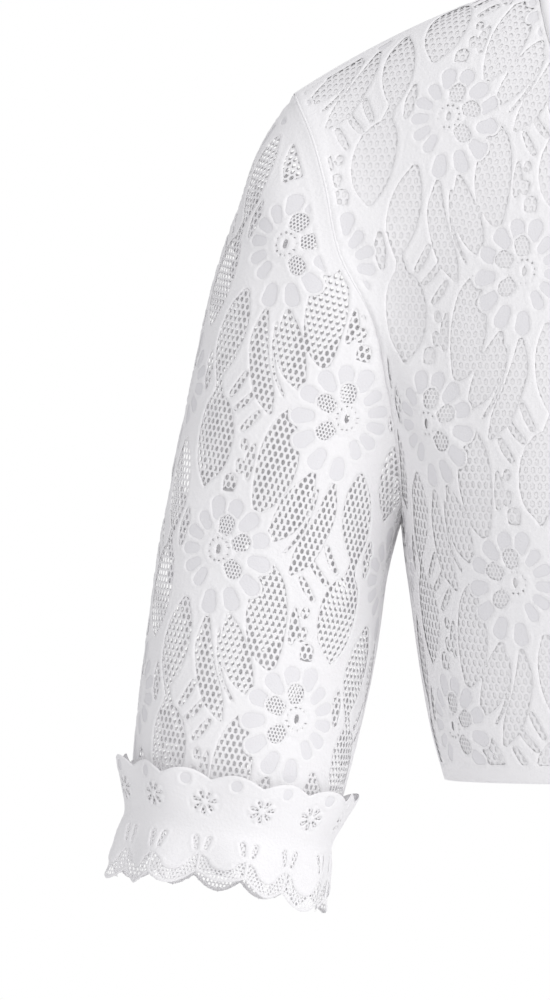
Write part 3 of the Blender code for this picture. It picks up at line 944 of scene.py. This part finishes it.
def tube(line, radius, closed):
    """Points and faces of a round cord along a line."""
    along = np.roll(line, -1, axis=0) - np.roll(line, 1, axis=0) if closed else np.gradient(line, axis=0)
    along /= np.linalg.norm(along, axis=1, keepdims=True)
    aside = np.cross(along, (0.0, 1.0, 0.02))
    aside /= np.linalg.norm(aside, axis=1, keepdims=True)
    across = np.cross(along, aside)
    angle = 2 * math.pi * np.arange(SEAM_SIDES) / SEAM_SIDES
    turns = np.cos(angle)[:, None] * aside[:, None] + np.sin(angle)[:, None] * across[:, None]
    rings = line[:, None] + radius * turns
    faces = []
    spans = len(line) if closed else len(line) - 1
    for index in range(spans):
        for side in range(SEAM_SIDES):
            ring = [(index, side), (index + 1, side), (index + 1, side + 1), (index, side + 1)]
            faces.append([(i % len(line)) * SEAM_SIDES + j % SEAM_SIDES for i, j in ring])
    return rings.reshape(-1, 3), faces


def seams(front, back):
    """The armhole, shoulder and side seams as one piece of rolled seams."""
    neck = slice(HALF_COLUMNS + NECK_COLUMNS, None)
    armhole = np.concatenate([front.grid[SIDE_ROWS:, -1], back.grid[SIDE_ROWS:, -1][-2:0:-1]])
    runs = [(armhole, True), (front.grid[-1, neck], False), (front.grid[: SIDE_ROWS + 1, -1], False)]
    points, faces = [], []
    total = 0
    for sign in (1, -1):
        for line, closed in runs:
            ring, ring_faces = tube(line * (sign, 1, 1), SEAM_RADIUS, closed)
            points.append(ring)
            faces.extend([index + total for index in face] for face in ring_faces)
            total += len(ring)
    points = np.concatenate(points)
    slots, materials = [0] * len(faces), [bpy.data.materials["binding_tape"]]
    return add_mesh("seams", points, faces, np.zeros((len(points), 2)), slots, materials)


def binding(front, back):
    """The neck binding as a cloth: a tape folded over the edges of lace and lining."""
    neck = slice(HALF_COLUMNS - NECK_COLUMNS, HALF_COLUMNS + NECK_COLUMNS + 1)
    edge = np.concatenate([front.grid[-1, neck][:-1], back.grid[-1, neck][:0:-1]])
    normal = np.concatenate([front.normal[-1, neck][:-1], back.normal[-1, neck][:0:-1]])
    normal = (np.roll(normal, 2, axis=0) + normal + np.roll(normal, -2, axis=0)) / 3
    tangent = np.roll(edge, -1, axis=0) - np.roll(edge, 1, axis=0)
    away = np.cross(normal, tangent)
    away /= np.linalg.norm(away, axis=-1, keepdims=True)
    away *= np.sign(np.sum(away * (edge.mean(axis=0) - edge), axis=-1, keepdims=True))
    profile = smooth_line(np.array(TAPE) * MM, even(TAPE_STEPS))
    rings = np.stack([edge + along * away + lift * normal for along, lift in profile], axis=1)
    rings = np.concatenate([rings, rings[:1]])
    length = distances(rings[:, 0])[:, None] / MM
    flat = np.stack(np.broadcast_arrays(length, distances(profile)[None] / MM), axis=-1)
    return Cloth(rings, None, flat.copy(), False)


# Materials
def cloth_material(name, colour, roughness, sheen, thread, depth):
    """A white cloth whose threads show as a fine relief in the flat cloth's own sizes."""
    material = bpy.data.materials.new(name)
    material.use_nodes = True
    nodes, links = material.node_tree.nodes, material.node_tree.links
    shader = nodes["Principled BSDF"]
    shader.inputs["Base Color"].default_value = (*colour, 1)
    shader.inputs["Roughness"].default_value = roughness
    shader.inputs["Sheen Weight"].default_value = sheen
    shader.inputs["Specular IOR Level"].default_value = 0.25
    place = nodes.new("ShaderNodeUVMap")
    place.uv_map = "flat"
    threads = nodes.new("ShaderNodeTexNoise")
    threads.inputs["Scale"].default_value = 1 / thread
    threads.inputs["Detail"].default_value = 2
    bump = nodes.new("ShaderNodeBump")
    bump.inputs["Strength"].default_value = 0.6
    bump.inputs["Distance"].default_value = depth
    links.new(place.outputs["UV"], threads.inputs["Vector"])
    links.new(threads.outputs["Fac"], bump.inputs["Height"])
    links.new(bump.outputs["Normal"], shader.inputs["Normal"])


# Stage, light and camera
FLOOR_UP = -0.70
FLOOR_HALF = 1.6
PICTURE_HEIGHT = 0.480
PICTURE_ACROSS = -0.2112
PICTURE_UP = -0.1954
SUBJECT_FRONT = -0.02
CAMERA_AWAY = 4.5
SENSOR = 36
DARK_SIDE = 0.5
BRIGHT_SIDE = 1.2
KEY_PLACE = (0.75, -1.6, 0.5)
KEY_AIM = (-0.12, 0, -0.15)
KEY_SIZE = 1.6
KEY_POWER = 9


def add_floor():
    """A plain pale floor under the blouse."""
    mesh = bpy.data.meshes.new("floor")
    signs = ((-1, -1), (1, -1), (1, 1), (-1, 1))
    mesh.from_pydata([(x * FLOOR_HALF, y * FLOOR_HALF, FLOOR_UP) for x, y in signs], [], [(0, 1, 2, 3)])
    floor = bpy.data.objects.new("floor", mesh)
    bpy.context.scene.collection.objects.link(floor)
    material = bpy.data.materials.new("pale_floor")
    material.use_nodes = True
    shader = material.node_tree.nodes["Principled BSDF"]
    shader.inputs["Base Color"].default_value = (0.9, 0.9, 0.9, 1)
    shader.inputs["Roughness"].default_value = 0.8
    mesh.materials.append(material)


def add_surround():
    """A surround that lights the blouse softly, brighter from its left, and is seen as plain white."""
    world = bpy.data.worlds.new("studio")
    bpy.context.scene.world = world
    world.use_nodes = True
    nodes, links = world.node_tree.nodes, world.node_tree.links
    surround = nodes["Background"]
    surround.inputs["Color"].default_value = (0.98, 0.975, 1.0, 1)
    towards = nodes.new("ShaderNodeTexCoord")
    split = nodes.new("ShaderNodeSeparateXYZ")
    spread = nodes.new("ShaderNodeMapRange")
    spread.inputs["From Min"].default_value = -1
    spread.inputs["To Min"].default_value = DARK_SIDE
    spread.inputs["To Max"].default_value = BRIGHT_SIDE
    links.new(towards.outputs["Generated"], split.inputs["Vector"])
    links.new(split.outputs["X"], spread.inputs["Value"])
    links.new(spread.outputs["Result"], surround.inputs["Strength"])
    paper = nodes.new("ShaderNodeBackground")
    paper.inputs["Color"].default_value = (1, 1, 1, 1)
    paper.inputs["Strength"].default_value = 1.0
    path = nodes.new("ShaderNodeLightPath")
    mix = nodes.new("ShaderNodeMixShader")
    links.new(path.outputs["Is Camera Ray"], mix.inputs[0])
    links.new(surround.outputs[0], mix.inputs[1])
    links.new(paper.outputs[0], mix.inputs[2])
    links.new(mix.outputs[0], nodes["World Output"].inputs["Surface"])


def add_key_light():
    """A square soft light that faces the blouse from its left."""
    light = bpy.data.lights.new("key", "AREA")
    light.shape = "SQUARE"
    light.size = KEY_SIZE
    light.energy = KEY_POWER
    light.color = (1, 0.99, 0.98)
    lamp = bpy.data.objects.new("key", light)
    bpy.context.scene.collection.objects.link(lamp)
    lamp.location = KEY_PLACE
    lamp.rotation_euler = (Vector(KEY_AIM) - Vector(KEY_PLACE)).to_track_quat("-Z", "Y").to_euler()


def add_camera():
    """A long lens level with the middle of the picture, straight in front."""
    camera = bpy.data.cameras.new("camera")
    camera.sensor_fit = "VERTICAL"
    camera.sensor_height = SENSOR
    camera.lens = SENSOR * CAMERA_AWAY / PICTURE_HEIGHT
    camera.clip_end = 20
    eye = bpy.data.objects.new("camera", camera)
    bpy.context.scene.collection.objects.link(eye)
    eye.location = (PICTURE_ACROSS, SUBJECT_FRONT - CAMERA_AWAY, PICTURE_UP)
    eye.rotation_euler = (math.pi / 2, 0, 0)
    bpy.context.scene.camera = eye


def flower_origin(cloth, place, turn):
    """The flat spot under a flower that is given as seen from the front. turn is 1 to the same side."""
    seen = cloth.grid[..., 1] * turn < 0
    away = np.linalg.norm(cloth.grid[..., (0, 2)] - np.array(place) * MM, axis=-1)
    away[~seen] = np.inf
    return cloth.flat[np.unravel_index(away.argmin(), away.shape)]


def declare(piece, node):
    """Puts a finished cloth in the node's place."""
    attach(piece, "root")
    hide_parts(node)


def bodice(face):
    """The front (face -1) or back (face 1) panel as a cloth."""
    grid = panel(face)
    return Cloth(grid, normals(grid, -face, closed=False), laid_flat(grid, 1), face > 0)


def panel_allowances(where):
    """Widths of a panel's solid edges at each place: hem, top and sides."""
    return np.tile([PANEL_HEM, PANEL_TOP, PANEL_SIDES, PANEL_SIDES], (len(where), 1))


def sleeve_allowances(where):
    """Widths of a sleeve's solid edges at each place, wide over the cap and narrow at the underarm."""
    away = np.abs(where[:, 1] / SLEEVE_COLUMNS - 0.5) / 0.5
    cap = np.where(away < CAP_SHARE, CAP_SEAM, UNDERARM_SEAM)
    hem, narrow = np.full(len(where), SLEEVE_HEM), np.full(len(where), UNDERARM_SEAM)
    return np.stack([cap, hem, narrow, narrow], axis=1)


def add_bodice(front, back):
    """Lace and lining of the front and the back."""
    for part, cloth, flower, turn in (("front", front, FRONT_FLOWER, 1), ("back", back, BACK_FLOWER, -1)):
        layers = lace_layers(cloth, flower_origin(cloth, flower, turn), PANEL_STEP, panel_allowances)
        piece = layered_mesh("lace_" + part, cloth, layers, False)
        declare(piece, part + "_bodice")
        piece = lining("lining_cloth_" + part, cloth)
        declare(piece, "lining_" + part)


def add_sleeves(arm, cuff):
    """Both sleeves and their cuff trims, the right ones mirrored."""
    sleeve_layers = lace_layers(arm, flower_origin(arm, SLEEVE_FLOWER, 1), SLEEVE_STEP, sleeve_allowances)
    cuff_layers = trim_layers(cuff)
    for side, mirrored in (("left", False), ("right", True)):
        piece = layered_mesh("lace_sleeve_" + side, arm, sleeve_layers, mirrored)
        declare(piece, "sleeve_" + side)
        piece = layered_mesh("lace_cuff_" + side, cuff, cuff_layers, mirrored)
        declare(piece, "cuff_trim_" + side)


def add_edges(front, back):
    """The rolled seams and the neck's tape."""
    piece = seams(front, back)
    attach(piece, "root")
    tape = binding(front, back)
    piece = plain_mesh("neck_tape", tape.grid, tape.flat, tape.turned, "binding_tape")
    declare(piece, "neck_binding")


cloth_material("solid_lace", (0.95, 0.945, 0.95), 0.7, 0.15, 1.6 * MM, 0.5 * MM)
# The sheer lace's greyer colour is partly its thinner cloth and partly painted shade from the dark inside
# of the garment seen through it.
cloth_material("sheer_lace", (0.86, 0.855, 0.87), 0.75, 0.1, 1.0 * MM, 0.3 * MM)
cloth_material("net_lace", (0.93, 0.925, 0.93), 0.75, 0.1, 0.5 * MM, 0.05 * MM)
cloth_material("lining_cloth", (0.97, 0.965, 0.97), 0.85, 0.1, 0.7 * MM, 0.06 * MM)
cloth_material("binding_tape", (0.94, 0.935, 0.94), 0.8, 0.1, 0.6 * MM, 0.08 * MM)

front_cloth, back_cloth = bodice(-1), bodice(1)
add_bodice(front_cloth, back_cloth)
add_sleeves(sleeve(), trim_cloth())
add_edges(front_cloth, back_cloth)
add_floor()
add_surround()
add_key_light()
add_camera()
bpy.context.scene.view_settings.view_transform = "Standard"
